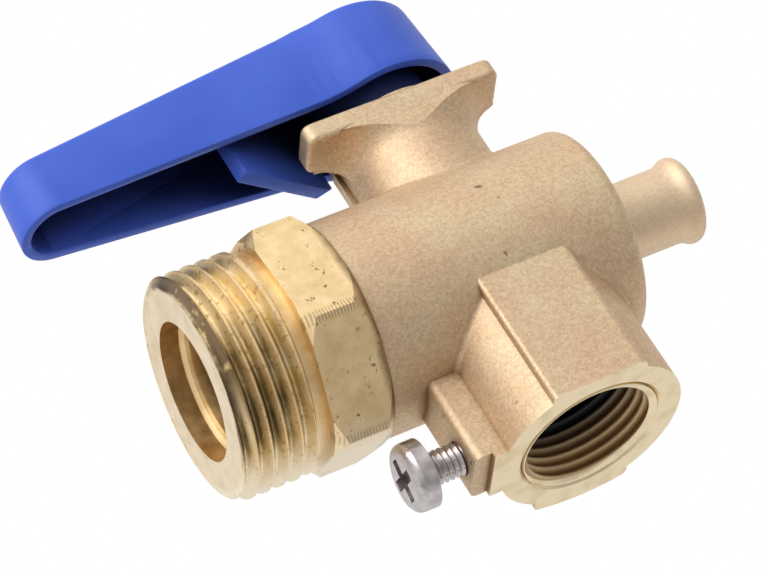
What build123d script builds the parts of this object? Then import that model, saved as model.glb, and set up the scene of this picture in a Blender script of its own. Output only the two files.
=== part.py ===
"""Water softener tap: a three-way lever tap with an L-bore ball.

Frame: origin on the softener port's axis where its thread starts, just inside the mouth, +X
along the barrel to the hose nozzle, +Y from the port to the lever, +Z up. Millimetres.
"""
import os
from math import asin, cos, radians, sin, sqrt, tan
from build123d import *

os.makedirs("parts", exist_ok=True)

# Driving dimensions of the body
port_reach = 24.0
barrel_radius = 12.8
barrel_start = -18.6
barrel_end = 14.0
barrel_edge = 1.3
nozzle_radius = 4.6
nozzle_bead_radius = 5.2
nozzle_end = 26.3
nozzle_bead_length = 3.0
nozzle_bore_radius = 3.1
nozzle_bore_lead = 1.0
nozzle_root = 0.8
neck_radius = 8.5
neck_height = 22.3
neck_fillet = 1.0
bar_left = 12.6
bar_right = 11.9
bar_thickness = 2.6
bar_low = 2.2
bar_high = 8.6
bar_corner = 1.2
bar_edge = 0.6
bar_flare = 3.5
rib_width = 1.4
rib_height = 0.5
rib_height_right = 0.15
port_step = 1.4
port_flat_step = 1.8
port_pad_half = 5.9
pad_crown = 0.8
pad_edge = 0.5
pad_edge_right = 1.0
port_fillet = 0.6
port_thread_radius = 8.33
port_thread_depth = 11.5
port_chamfer = 0.6
passage_radius = 5.0
lug_end = -14.5
lug_face_end = -12.4
lug_length = 11.8
lug_setback = 0.7
lug_half = 3.8
lug_edge = 1.0

# Driving dimensions of the end connector
connector_end = -36.8
connector_thread_radius = 13.22
connector_chamfer = 0.6
relief_start = -28.2
relief_radius = 11.9
hex_start = -26.4
hex_across_flats = 26.0
hex_corner_angle = 111.0
hex_front_chamfer = 1.2
hex_back_chamfer = 1.9
spigot_wall = 1.85
spigot_nose = 0.8
mouth_radius = 8.2
mouth_depth = 2.3
mouth_bevel = 0.9
connector_bore_radius = 7.3
connector_throat_start = -15.0
connector_throat_length = 2.5

# Ball, seats and seals
seat_lap = 0.5
ball_bore_radius = 4.25
seat_bore_radius = 4.75
seat_radius = 8.5
seat_face = 4.9
seat_back = 9.0
ring_groove_start = -18.2
ring_groove_width = 2.0
ring_groove_depth = 1.65
connector_ring_section = 0.88
mouth_counterbore = 2.7

# Stem
stem_radius = 4.0
stem_tang_half = 1.95
stem_tang_reach = 4.2
stem_tang_bottom = 5.5
collar_radius = 5.5
collar_bottom = 8.7
collar_top = 9.9
washer_thickness = 0.9
stem_groove_radius = 2.6
stem_groove_width = 1.9
seal_depth_lower = 9.1
seal_depth_upper = 4.7
stem_ring_section = 0.7
stem_flat_half = 2.8
drive_lift = 0.45
drive_length = 6.25

# Handle
lever_rest = 6.0
rim_gap = 2.5
rim_dip = 2.3
head_radius = 9.9
head_blend = 18.0
tip_radius = 4.75
lever_length = 42.0
arm_base = 8.26
lever_draft = 4.0
lever_height = 11.0
crown_length = 7.4
lever_fall = 7.7
lever_wall = 1.2
lever_top = 2.0
lever_edge = 0.7
hub_radius = 6.4
hub_gap = 0.5
stop_foot = (8.5, -4.7)
stop_heel = (7.5, -5.1)
stop_angle = 34.2
stop_reach = 14.0
stop_drop = 3.6
stop_rise = 8.2
stop_thickness = 1.8

# Screws
screw_radius = 1.95
screw_head_radius = 4.0
screw_head_height = 2.6
screw_head_edge = 1.0
screw_length = 8.0
screw_out = 4.3
screw_inset = 3.7
recess_width = 1.3
recess_length = 5.0
recess_depth = 1.2
recess_turn = 20.0
handle_screw_length = 8.0
handle_washer_radius = 4.6
handle_washer_thickness = 0.8
washer_hole_radius = 2.2
cap_thickness = 1.3

# Clearances shared by mating pieces
thread_play = 0.05
run_play = 0.05
seat_play = 0.05
slip_play = 0.08

# Worked-out places
mouth_y = -port_chamfer
axis_y = mouth_y + port_reach
port_radius = barrel_radius - port_step
port_flat_half = barrel_radius - port_flat_step
spigot_radius = barrel_radius - spigot_wall
ring_groove_radius = spigot_radius - ring_groove_depth
ball_radius = seat_radius - seat_lap
stem_groove_lower = neck_height - seal_depth_lower
stem_groove_upper = neck_height - seal_depth_upper
stem_drive_start = neck_height + drive_lift
stem_drive_end = stem_drive_start + drive_length
flow_axis = Axis((0, axis_y, 0), (1, 0, 0))
stem_axis = Axis((0, 0, 0), (0, 1, 0))
neck_top = axis_y + neck_height
chamber_radius = seat_radius + seat_play
socket_radius = spigot_radius + thread_play
socket_step = -(seat_back + spigot_nose)
stem_bore_radius = stem_radius + run_play
collar_bore_radius = collar_radius + run_play
washer_seat = axis_y + collar_top + washer_thickness + 2 * run_play
hex_radius = hex_across_flats / sqrt(3)
hex_back = barrel_start - seat_play
lever_rim = neck_top + rim_gap
hub_bottom = neck_top + hub_gap
drive_roof = axis_y + stem_drive_end + 0.3
cap_floor = drive_roof + cap_thickness
ball_slot_half = stem_tang_half + run_play
screw_hole_radius = screw_radius + thread_play
lock_y = mouth_y + screw_inset
lock_seat = lug_end - screw_out


# Stop bar across the neck and the port block with its wrench pads and lug, for the forging
with BuildPart() as stop_bar:
    with BuildSketch(Plane((0, neck_top, 0), x_dir=(-1, 0, 0), z_dir=(0, 1, 0))):
        with Locations(((bar_left - bar_right) / 2, (bar_low + bar_high) / 2)):
            RectangleRounded(bar_left + bar_right, bar_high - bar_low, bar_corner)
    extrude(amount=-bar_thickness)
    fillet(stop_bar.faces().filter_by(Axis.Y).edges(), bar_edge)

bar_under = neck_top - bar_thickness
with BuildPart() as bar_root:
    with BuildSketch(Plane.XY):
        with BuildLine():
            Polyline(
                (neck_radius - 1, bar_under - bar_flare),
                (neck_radius - 1, bar_under + bar_edge),
                (neck_radius + bar_flare / 2, bar_under + bar_edge),
                (neck_radius + bar_flare, bar_under),
            )
            RadiusArc(
                (neck_radius + bar_flare, bar_under),
                (neck_radius, bar_under - bar_flare),
                -bar_flare,
            )
            Line((neck_radius, bar_under - bar_flare), (neck_radius - 1, bar_under - bar_flare))
        make_face()
    revolve(axis=stem_axis)
    with BuildSketch(Plane((0, neck_top, 0), x_dir=(-1, 0, 0), z_dir=(0, 1, 0))):
        with Locations(((bar_left - bar_right) / 2, (bar_low + bar_high) / 2)):
            RectangleRounded(bar_left + bar_right, bar_high - bar_low, bar_corner)
    extrude(amount=-(bar_thickness + 2 * bar_flare), mode=Mode.INTERSECT)

port_plane = Plane((0, mouth_y, 0), x_dir=(-1, 0, 0), z_dir=(0, 1, 0))
with BuildPart() as port_block:
    with BuildSketch(port_plane):
        Circle(port_radius)
        Rectangle(2 * port_radius, 2 * port_flat_half, mode=Mode.INTERSECT)
        Rectangle(2 * port_pad_half, 2 * port_flat_half)
        with BuildLine():
            ThreePointArc(
                (-port_pad_half, -port_flat_half),
                (0, -port_flat_half - pad_crown),
                (port_pad_half, -port_flat_half),
            )
            Line((port_pad_half, -port_flat_half), (-port_pad_half, -port_flat_half))
        make_face()
        with Locations((-lug_face_end / 2, 0)):
            Rectangle(-lug_face_end, 2 * lug_half)
    extrude(amount=lug_length)
    with BuildSketch(Plane((0, mouth_y + lug_length, 0), x_dir=(-1, 0, 0), z_dir=(0, 1, 0))):
        Circle(port_radius)
        Rectangle(2 * port_radius, 2 * port_flat_half, mode=Mode.INTERSECT)
        Rectangle(2 * port_pad_half, 2 * port_flat_half)
        with BuildLine():
            ThreePointArc(
                (-port_pad_half, -port_flat_half),
                (0, -port_flat_half - pad_crown),
                (port_pad_half, -port_flat_half),
            )
            Line((port_pad_half, -port_flat_half), (-port_pad_half, -port_flat_half))
        make_face()
    extrude(amount=port_reach - lug_length)
    pad_edges = port_block.edges().filter_by(Axis.Y)
    pad_edges = pad_edges.filter_by(lambda edge: abs(edge.center().Z) > port_flat_half - 0.1)
    fillet(pad_edges.filter_by(lambda edge: edge.center().X < 0), pad_edge)
    pad_edges = port_block.edges().filter_by(Axis.Y)
    pad_edges = pad_edges.filter_by(lambda edge: abs(edge.center().Z) > port_flat_half - 0.1)
    fillet(pad_edges.filter_by(lambda edge: edge.center().X > port_pad_half - 0.1), pad_edge_right)
    with BuildSketch(Plane((0, mouth_y + lug_setback, 0), x_dir=(-1, 0, 0), z_dir=(0, 1, 0))):
        with Locations((-lug_end / 2, 0)):
            RectangleRounded(-lug_end, 2 * lug_half, lug_edge)
    extrude(amount=lug_length - lug_setback)


# One forging: barrel, nozzle, neck, stop bar and port block, then the machined bores
with BuildPart() as body_casting:
    with BuildSketch(Plane.XY) as barrel_profile:
        with BuildLine():
            Polyline(
                (barrel_start, axis_y),
                (barrel_start, axis_y + barrel_radius),
                (barrel_end - barrel_edge, axis_y + barrel_radius),
            )
            RadiusArc(
                (barrel_end - barrel_edge, axis_y + barrel_radius),
                (barrel_end, axis_y + barrel_radius - barrel_edge),
                barrel_edge,
            )
            Polyline(
                (barrel_end, axis_y + barrel_radius - barrel_edge),
                (barrel_end, axis_y + nozzle_radius + nozzle_root),
                (barrel_end + nozzle_root, axis_y + nozzle_radius),
                (nozzle_end - nozzle_bead_length, axis_y + nozzle_radius),
            )
            Spline(
                (nozzle_end - nozzle_bead_length, axis_y + nozzle_radius),
                (nozzle_end - nozzle_bead_length / 3, axis_y + nozzle_bead_radius),
                (nozzle_end, axis_y + nozzle_radius),
                tangents=((1, 0), (0.2, -1)),
            )
            Polyline(
                (nozzle_end, axis_y + nozzle_radius),
                (nozzle_end, axis_y),
                (barrel_start, axis_y),
            )
        make_face()
    revolve(axis=flow_axis)

    with BuildSketch(Plane((0, axis_y, 0), x_dir=(1, 0, 0), z_dir=(0, 1, 0))):
        Circle(neck_radius)
    extrude(amount=neck_height)

    neck_root = body_casting.edges().filter_by(GeomType.BSPLINE)
    fillet(neck_root.filter_by(lambda edge: edge.length > neck_radius), neck_fillet)
    with BuildSketch(Plane((0, axis_y, 0), x_dir=(1, 0, 0), z_dir=(0, 1, 0))):
        with Locations(((rib_height_right - rib_height) / 2, 0)):
            Rectangle(2 * neck_radius + rib_height + rib_height_right, rib_width)
    extrude(amount=neck_height - bar_thickness)
    add(stop_bar.part)
    add(bar_root.part)
    add(port_block.part)
    port_root = body_casting.edges().filter_by(GeomType.BSPLINE)
    port_root = port_root.filter_by(lambda edge: edge.center().Y < axis_y and edge.length > port_pad_half)
    fillet(port_root, port_fillet)

    with BuildSketch(Plane.XY):
        with BuildLine():
            Polyline(
                (barrel_start, axis_y),
                (barrel_start, axis_y + socket_radius + connector_ring_section / 2),
                (barrel_start + mouth_counterbore, axis_y + socket_radius + connector_ring_section / 2),
                (barrel_start + mouth_counterbore, axis_y + socket_radius),
                (socket_step, axis_y + socket_radius),
                (socket_step, axis_y + chamber_radius),
                (seat_back + seat_play, axis_y + chamber_radius),
                (seat_back + seat_play, axis_y + nozzle_bore_radius + nozzle_bore_lead),
                (barrel_end, axis_y + nozzle_bore_radius),
                (nozzle_end, axis_y + nozzle_bore_radius),
                (nozzle_end, axis_y),
                (barrel_start, axis_y),
            )
        make_face()
    revolve(axis=flow_axis, mode=Mode.SUBTRACT)

    with BuildSketch(Plane.XY):
        with BuildLine():
            Polyline(
                (0, mouth_y),
                (port_thread_radius + port_chamfer, mouth_y),
                (port_thread_radius, 0),
                (port_thread_radius, mouth_y + port_thread_depth),
                (passage_radius, mouth_y + port_thread_depth),
                (passage_radius, axis_y),
                (collar_bore_radius, axis_y),
                (collar_bore_radius, washer_seat),
                (stem_bore_radius, washer_seat),
                (stem_bore_radius, neck_top),
                (0, neck_top),
                (0, mouth_y),
            )
        make_face()
    revolve(axis=stem_axis, mode=Mode.SUBTRACT)

    with BuildSketch(Plane((lug_end, lock_y, 0), x_dir=(0, 1, 0), z_dir=(1, 0, 0))):
        Circle(screw_hole_radius)
    extrude(amount=-lug_end, mode=Mode.SUBTRACT)
body_casting.part.label = "body_casting"
export_step(body_casting.part, "parts/body_casting.step")


# Turned hex connector: male thread, relief, hex, then the spigot that holds the inlet seat
with BuildPart() as end_connector:
    with BuildSketch(Plane((hex_start, axis_y, 0), x_dir=(0, 1, 0), z_dir=(1, 0, 0))):
        RegularPolygon(hex_radius, 6, rotation=hex_corner_angle)
    extrude(amount=hex_back - hex_start)
    with BuildSketch(Plane.XY):
        with BuildLine():
            Polyline(
                (hex_start, axis_y),
                (hex_start, axis_y + hex_radius - hex_front_chamfer),
                (hex_start + hex_front_chamfer, axis_y + hex_radius),
                (hex_back - hex_back_chamfer, axis_y + hex_radius),
                (hex_back, axis_y + hex_radius - hex_back_chamfer),
                (hex_back, axis_y),
                (hex_start, axis_y),
            )
        make_face()
    revolve(axis=flow_axis, mode=Mode.INTERSECT)

    with BuildSketch(Plane.XY):
        with BuildLine():
            Polyline(
                (connector_end, axis_y),
                (connector_end, axis_y + connector_thread_radius - connector_chamfer),
                (connector_end + connector_chamfer, axis_y + connector_thread_radius),
                (relief_start, axis_y + connector_thread_radius),
                (relief_start + connector_chamfer, axis_y + relief_radius),
                (hex_start, axis_y + relief_radius),
                (hex_back, axis_y + relief_radius),
                (hex_back, axis_y + spigot_radius),
                (ring_groove_start, axis_y + spigot_radius),
                (ring_groove_start, axis_y + ring_groove_radius),
                (ring_groove_start + ring_groove_width, axis_y + ring_groove_radius),
                (ring_groove_start + ring_groove_width, axis_y + spigot_radius),
                (socket_step - run_play, axis_y + spigot_radius),
                (socket_step - run_play, axis_y + seat_radius),
                (-(seat_back + seat_play), axis_y + seat_radius),
                (-(seat_back + seat_play), axis_y),
                (connector_end, axis_y),
            )
        make_face()
    revolve(axis=flow_axis)

    with BuildSketch(Plane.XY):
        with BuildLine():
            Polyline(
                (connector_end, axis_y),
                (connector_end, axis_y + mouth_radius),
                (connector_end + mouth_depth, axis_y + mouth_radius),
                (connector_end + mouth_depth + mouth_bevel, axis_y + connector_bore_radius),
                (connector_throat_start, axis_y + connector_bore_radius),
                (connector_throat_start + connector_throat_length, axis_y + seat_bore_radius),
                (-seat_back, axis_y + seat_bore_radius),
                (-seat_back, axis_y),
                (connector_end, axis_y),
            )
        make_face()
    revolve(axis=flow_axis, mode=Mode.SUBTRACT)
end_connector.part.label = "end_connector"
export_step(end_connector.part, "parts/end_connector.step")


# Seal ring under the connector's hex
ring_centre = ring_groove_start + ring_groove_width / 2
ring_mid_radius = ring_groove_radius + run_play + connector_ring_section
with BuildPart() as connector_oring:
    with BuildSketch(Plane.XY):
        with Locations((ring_centre, axis_y + ring_mid_radius)):
            Circle(connector_ring_section)
    revolve(axis=flow_axis)
connector_oring.part.label = "connector_oring"
export_step(connector_oring.part, "parts/connector_oring.step")


# Seat rings with a spherical face, one on each side of the ball
seat_sphere = ball_radius + run_play
seat_rim = sqrt(seat_sphere**2 - seat_face**2)
seat_lip = sqrt(seat_sphere**2 - seat_bore_radius**2)
with BuildPart() as seat_ring_outlet:
    with BuildSketch(Plane.XY):
        with BuildLine():
            Polyline(
                (seat_lip, axis_y + seat_bore_radius),
                (seat_back, axis_y + seat_bore_radius),
                (seat_back, axis_y + seat_radius),
                (seat_face, axis_y + seat_radius),
                (seat_face, axis_y + seat_rim),
            )
            RadiusArc(
                (seat_face, axis_y + seat_rim),
                (seat_lip, axis_y + seat_bore_radius),
                seat_sphere,
            )
        make_face()
    revolve(axis=flow_axis)
seat_ring_outlet.part.label = "seat_ring_outlet"
export_step(seat_ring_outlet.part, "parts/seat_ring_outlet.step")

with BuildPart() as seat_ring_inlet:
    add(mirror(seat_ring_outlet.part, about=Plane.YZ))
seat_ring_inlet.part.label = "seat_ring_inlet"
export_step(seat_ring_inlet.part, "parts/seat_ring_inlet.step")


# Ball with an L bore: in from the port below, out towards the lever's side
with BuildPart() as ball:
    with Locations((0, axis_y, 0)):
        Sphere(ball_radius)
    with BuildSketch(Plane((0, axis_y, 0), x_dir=(1, 0, 0), z_dir=(0, -1, 0))):
        Circle(ball_bore_radius)
    extrude(amount=ball_radius, mode=Mode.SUBTRACT)
    with BuildSketch(Plane((0, axis_y, 0), x_dir=(0, 1, 0), z_dir=(-1, 0, 0))):
        Circle(ball_bore_radius)
    extrude(amount=ball_radius, mode=Mode.SUBTRACT)
    with Locations((0, axis_y, 0)):
        Sphere(ball_bore_radius, mode=Mode.SUBTRACT)
    slot_bottom = axis_y + stem_tang_bottom - run_play
    with Locations((0, slot_bottom + ball_radius / 2, 0)):
        Box(2 * ball_radius, ball_radius, 2 * ball_slot_half, mode=Mode.SUBTRACT)
ball.part.label = "ball"
export_step(ball.part, "parts/ball.step")


# Stem: tang in the ball's slot, collar, two ring grooves, drive flats, screw hole
with BuildPart() as stem:
    lower_groove = axis_y + stem_groove_lower
    upper_groove = axis_y + stem_groove_upper
    with BuildSketch(Plane.XY):
        with BuildLine():
            Polyline(
                (0, axis_y + collar_bottom),
                (collar_radius, axis_y + collar_bottom),
                (collar_radius, axis_y + collar_top),
                (stem_radius, axis_y + collar_top),
                (stem_radius, lower_groove),
                (stem_groove_radius, lower_groove),
                (stem_groove_radius, lower_groove + stem_groove_width),
                (stem_radius, lower_groove + stem_groove_width),
                (stem_radius, upper_groove),
                (stem_groove_radius, upper_groove),
                (stem_groove_radius, upper_groove + stem_groove_width),
                (stem_radius, upper_groove + stem_groove_width),
                (stem_radius, axis_y + stem_drive_end),
                (0, axis_y + stem_drive_end),
                (0, axis_y + collar_bottom),
            )
        make_face()
    revolve(axis=stem_axis)
    tang_height = collar_bottom - stem_tang_bottom + stem_tang_half / 2
    with Locations((0, axis_y + stem_tang_bottom + tang_height / 2, 0)):
        Box(2 * stem_tang_reach, tang_height, 2 * stem_tang_half)
    drive_plane = Plane((0, axis_y + stem_drive_start, 0), x_dir=(-1, 0, 0), z_dir=(0, 1, 0))
    with BuildSketch(drive_plane):
        with Locations((0, stem_flat_half + stem_radius), (0, -stem_flat_half - stem_radius)):
            Rectangle(4 * stem_radius, 2 * stem_radius)
    extrude(amount=stem_drive_end - stem_drive_start, mode=Mode.SUBTRACT)
    drive_top = Plane((0, axis_y + stem_drive_end, 0), x_dir=(-1, 0, 0), z_dir=(0, 1, 0))
    with BuildSketch(drive_top):
        Circle(screw_hole_radius)
    extrude(amount=-handle_screw_length, mode=Mode.SUBTRACT)
stem.part.label = "stem"
export_step(stem.part, "parts/stem.step")


# Thrust washer between the collar and the neck
with BuildPart() as stem_thrust_washer:
    with BuildSketch(Plane((0, axis_y + collar_top + run_play, 0), x_dir=(1, 0, 0), z_dir=(0, 1, 0))):
        Circle(collar_radius)
        Circle(stem_radius + run_play, mode=Mode.SUBTRACT)
    extrude(amount=washer_thickness)
stem_thrust_washer.part.label = "stem_thrust_washer"
export_step(stem_thrust_washer.part, "parts/stem_thrust_washer.step")


# Stem seals, one in each groove
stem_ring_mid = stem_groove_radius + stem_ring_section + run_play / 2
with BuildPart() as stem_oring_lower:
    with BuildSketch(Plane.XY):
        with Locations((stem_ring_mid, axis_y + stem_groove_lower + stem_groove_width / 2)):
            Circle(stem_ring_section)
    revolve(axis=stem_axis)
stem_oring_lower.part.label = "stem_oring_lower"
export_step(stem_oring_lower.part, "parts/stem_oring_lower.step")

with BuildPart() as stem_oring_upper:
    with BuildSketch(Plane.XY):
        with Locations((stem_ring_mid, axis_y + stem_groove_upper + stem_groove_width / 2)):
            Circle(stem_ring_section)
    revolve(axis=stem_axis)
stem_oring_upper.part.label = "stem_oring_upper"
export_step(stem_oring_upper.part, "parts/stem_oring_upper.step")


# Moulded lever: a drafted shell open to the body, with a hub and a stop rib
lever_dir = (-cos(radians(lever_rest)), 0, sin(radians(lever_rest)))
arm_lean = asin((arm_base - tip_radius) / lever_length)


def lever_plane(height):
    """Plane across the lever at a height above its rim, local x towards the tip."""
    return Plane((0, lever_rim + height, 0), x_dir=lever_dir, z_dir=(0, 1, 0))


def lever_outline(inset):
    """Round head blended into straight arms and a round tip, moved in by an inset."""
    along = (cos(arm_lean), -sin(arm_lean))
    square = (sin(arm_lean), cos(arm_lean))
    reach = sqrt((head_radius + head_blend) ** 2 - (arm_base + head_blend) ** 2)
    blend_x = square[0] * (arm_base + head_blend) + along[0] * reach
    blend_y = square[1] * (arm_base + head_blend) + along[1] * reach
    head = head_radius - inset
    tip = tip_radius - inset
    arm = arm_base - inset
    share = head / (head_radius + head_blend)
    head_point = (blend_x * share, blend_y * share)
    arm_point = (square[0] * arm + along[0] * reach, square[1] * arm + along[1] * reach)
    tip_point = (lever_length + tip * square[0], tip * square[1])
    with BuildLine() as outline:
        ThreePointArc((head_point[0], -head_point[1]), (-head, 0), head_point)
        TangentArc(head_point, arm_point, tangent=(blend_y, -blend_x))
        Line(arm_point, tip_point)
        ThreePointArc(tip_point, (lever_length + tip, 0), (tip_point[0], -tip_point[1]))
        Line((tip_point[0], -tip_point[1]), (arm_point[0], -arm_point[1]))
        TangentArc((head_point[0], -head_point[1]), (arm_point[0], -arm_point[1]), tangent=(blend_y, blend_x))
    return outline.line


def lever_top_plane(drop):
    """Plane of the lever's falling top, lowered by a drop."""
    fall = radians(lever_fall)
    normal = (sin(fall) * lever_dir[0], cos(fall), sin(fall) * lever_dir[2])
    crown = (crown_length * lever_dir[0], lever_rim + lever_height - drop, crown_length * lever_dir[2])
    return Plane(crown, z_dir=normal)


def lever_rim_plane():
    """Plane of the open rim, dipping towards the tip."""
    dip = radians(rim_dip)
    normal = (sin(dip) * lever_dir[0], cos(dip), sin(dip) * lever_dir[2])
    return Plane((0, lever_rim, 0), z_dir=normal)


rim_sink = (lever_length + 2 * tip_radius) * tan(radians(rim_dip))
cavity_sink = 2 * rim_sink
with BuildPart() as lever_cavity:
    with BuildSketch(lever_plane(-cavity_sink)):
        add(lever_outline(lever_wall - cavity_sink * tan(radians(lever_draft))))
        make_face()
    with BuildSketch(lever_plane(lever_height - lever_top)):
        add(lever_outline(lever_wall + (lever_height - lever_top) * tan(radians(lever_draft))))
        make_face()
    loft(ruled=True)
    split(bisect_by=lever_top_plane(lever_top), keep=Keep.BOTTOM)

crown_height = lever_height + (crown_length + 2 * head_radius) * tan(radians(lever_fall))
with BuildPart() as lever_crown:
    with BuildSketch(lever_plane(-rim_sink)):
        add(lever_outline(-rim_sink * tan(radians(lever_draft))))
        make_face()
    with BuildSketch(lever_plane(lever_height)):
        add(lever_outline(lever_height * tan(radians(lever_draft))))
        make_face()
    loft(ruled=True)
    fillet(lever_crown.faces().sort_by(Axis.Y)[-1].edges(), lever_edge)

with BuildPart() as handle:
    with BuildSketch(lever_plane(-rim_sink)):
        add(lever_outline(-rim_sink * tan(radians(lever_draft))))
        make_face()
    with BuildSketch(lever_plane(crown_height)):
        add(lever_outline(crown_height * tan(radians(lever_draft))))
        make_face()
    loft(ruled=True)
    split(bisect_by=lever_top_plane(0), keep=Keep.BOTTOM)
    fillet(handle.faces().sort_by(Axis.Y)[-1].edges(), lever_edge)
    add(lever_crown.part, mode=Mode.INTERSECT)
    split(bisect_by=lever_rim_plane(), keep=Keep.TOP)
    add(lever_cavity.part, mode=Mode.SUBTRACT)

    with BuildSketch(Plane((0, hub_bottom, 0), x_dir=(-1, 0, 0), z_dir=(0, 1, 0))):
        Circle(hub_radius)
    extrude(amount=lever_rim + lever_height - lever_top - hub_bottom)

    rib_dir = (cos(radians(stop_angle)), sin(radians(stop_angle)))
    rib_off = (stop_thickness * rib_dir[1], -stop_thickness * rib_dir[0])
    rib_end = (stop_foot[0] + stop_reach * rib_dir[0], stop_foot[1] + stop_reach * rib_dir[1])
    with BuildSketch(lever_plane(-stop_drop)):
        Polygon(
            stop_foot,
            rib_end,
            (rib_end[0] + rib_off[0], rib_end[1] + rib_off[1]),
            (stop_foot[0] + rib_off[0], stop_foot[1] + rib_off[1]),
            stop_heel,
            align=None,
        )
    extrude(amount=stop_drop + stop_rise)

    with BuildSketch(Plane((0, hub_bottom, 0), x_dir=(-1, 0, 0), z_dir=(0, 1, 0))):
        Circle(stem_radius + slip_play)
        Rectangle(4 * stem_radius, 2 * (stem_flat_half + slip_play), mode=Mode.INTERSECT)
    extrude(amount=drive_roof - hub_bottom, mode=Mode.SUBTRACT)
    with BuildSketch(Plane((0, drive_roof, 0), x_dir=(-1, 0, 0), z_dir=(0, 1, 0))):
        Circle(washer_hole_radius)
    extrude(amount=lever_height, mode=Mode.SUBTRACT)
    with BuildSketch(Plane((0, cap_floor, 0), x_dir=(-1, 0, 0), z_dir=(0, 1, 0))):
        Circle(handle_washer_radius + slip_play)
    extrude(amount=lever_height, mode=Mode.SUBTRACT)
handle.part.label = "handle"
export_step(handle.part, "parts/handle.step")


# Plain washer under the handle screw
with BuildPart() as handle_washer:
    with BuildSketch(Plane((0, cap_floor + seat_play, 0), x_dir=(-1, 0, 0), z_dir=(0, 1, 0))):
        Circle(handle_washer_radius)
        Circle(washer_hole_radius, mode=Mode.SUBTRACT)
    extrude(amount=handle_washer_thickness)
handle_washer.part.label = "handle_washer"
export_step(handle_washer.part, "parts/handle_washer.step")


# Rounded edge of a pan head, as three points between its ends
head_round = [screw_head_edge * (1 - cos(radians(angle))) for angle in (22.5, 45.0, 67.5)]

# Pan head screws: the profile is (along the screw from under the head, radius)
pan_profile = [
    (0, 0),
    (-screw_head_height, 0),
    (-screw_head_height, screw_head_radius - screw_head_edge),
    (-screw_head_height + head_round[0], screw_head_radius - head_round[2]),
    (-screw_head_height + head_round[1], screw_head_radius - head_round[1]),
    (-screw_head_height + head_round[2], screw_head_radius - head_round[0]),
    (-screw_head_height + screw_head_edge, screw_head_radius),
    (0, screw_head_radius),
    (0, screw_radius),
]
screw_end_chamfer = 0.4

with BuildPart() as handle_screw:
    seat_y = cap_floor + handle_washer_thickness + 2 * seat_play
    tip_y = seat_y - handle_screw_length
    with BuildSketch(Plane.XY):
        Polygon(
            *[(radius, seat_y - along) for along, radius in pan_profile],
            (screw_radius, tip_y + screw_end_chamfer),
            (screw_radius - screw_end_chamfer, tip_y),
            (0, tip_y),
            align=None,
        )
    revolve(axis=stem_axis)
    with Locations((0, seat_y + screw_head_height - recess_depth / 2, 0)):
        Box(recess_length, recess_depth, recess_width, mode=Mode.SUBTRACT)
        Box(recess_width, recess_depth, recess_length, mode=Mode.SUBTRACT)
handle_screw.part.label = "handle_screw"
export_step(handle_screw.part, "parts/handle_screw.step")

with BuildPart() as lock_screw:
    tip_x = lock_seat + screw_length
    with BuildSketch(Plane.XY):
        Polygon(
            *[(lock_seat + along, lock_y + radius) for along, radius in pan_profile],
            (tip_x - screw_end_chamfer, lock_y + screw_radius),
            (tip_x, lock_y + screw_radius - screw_end_chamfer),
            (tip_x, lock_y),
            align=None,
        )
    revolve(axis=Axis((0, lock_y, 0), (1, 0, 0)))
    with Locations((lock_seat - screw_head_height + recess_depth / 2, lock_y, 0)):
        with Locations(Rotation(recess_turn, 0, 0)):
            Box(recess_depth, recess_length, recess_width, mode=Mode.SUBTRACT)
            Box(recess_depth, recess_width, recess_length, mode=Mode.SUBTRACT)
lock_screw.part.label = "lock_screw"
export_step(lock_screw.part, "parts/lock_screw.step")
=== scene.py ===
import math

import bpy
from mathutils import Matrix, Vector


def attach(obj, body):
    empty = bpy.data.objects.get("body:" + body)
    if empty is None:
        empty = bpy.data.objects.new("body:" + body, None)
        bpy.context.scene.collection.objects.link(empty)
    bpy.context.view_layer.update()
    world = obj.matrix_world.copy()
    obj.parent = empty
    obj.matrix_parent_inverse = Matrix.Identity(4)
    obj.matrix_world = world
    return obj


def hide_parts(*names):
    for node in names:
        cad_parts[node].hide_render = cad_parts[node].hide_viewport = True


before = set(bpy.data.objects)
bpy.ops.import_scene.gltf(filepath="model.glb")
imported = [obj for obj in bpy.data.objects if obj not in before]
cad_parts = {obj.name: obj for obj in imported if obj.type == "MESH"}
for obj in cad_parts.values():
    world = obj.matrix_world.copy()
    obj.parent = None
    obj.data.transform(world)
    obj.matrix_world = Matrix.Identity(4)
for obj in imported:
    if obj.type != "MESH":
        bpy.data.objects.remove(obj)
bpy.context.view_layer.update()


# Body casting: barrel, lever neck with its stop bar, softener port with its flats, and the screw lug.
# One piece of brass, cast and blasted to an even grain, then bored, faced and threaded.
MM = 0.001


def srgb(code):
    """Linear colour of an sRGB hex value."""
    channels = [int(code[i:i + 2], 16) / 255 for i in (1, 3, 5)]
    return [c / 12.92 if c <= 0.04045 else ((c + 0.055) / 1.055) ** 2.4 for c in channels] + [1.0]


def feed(material, node, inputs):
    """Links or sets the inputs of a node."""
    for socket, value in inputs.items():
        if isinstance(value, bpy.types.NodeSocket):
            material.node_tree.links.new(value, node.inputs[socket])
        else:
            node.inputs[socket].default_value = value


def add_node(material, kind, inputs=None, stops=(), **settings):
    """Adds a node with its settings, inputs and ramp stops, and gives its outputs."""
    node = material.node_tree.nodes.new("ShaderNode" + kind)
    for key, value in settings.items():
        setattr(node, key, value)
    feed(material, node, inputs or {})
    for number, (position, code) in enumerate(stops):
        node.color_ramp.elements[number].position = position
        node.color_ramp.elements[number].color = srgb(code)
    return node.outputs


def new_material(name):
    """An empty material with its shader and the piece's own coordinates."""
    material = bpy.data.materials.new(name)
    material.use_nodes = True
    shader = material.node_tree.nodes["Principled BSDF"]
    return material, shader, add_node(material, "TexCoord")["Object"]


def give(piece, material):
    """Puts one material on a whole piece."""
    piece.data.materials.clear()
    piece.data.materials.append(material)


def per_mm(size):
    """Texture scale for features of this size in millimetres."""
    return 1.0 / (size * MM)


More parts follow.
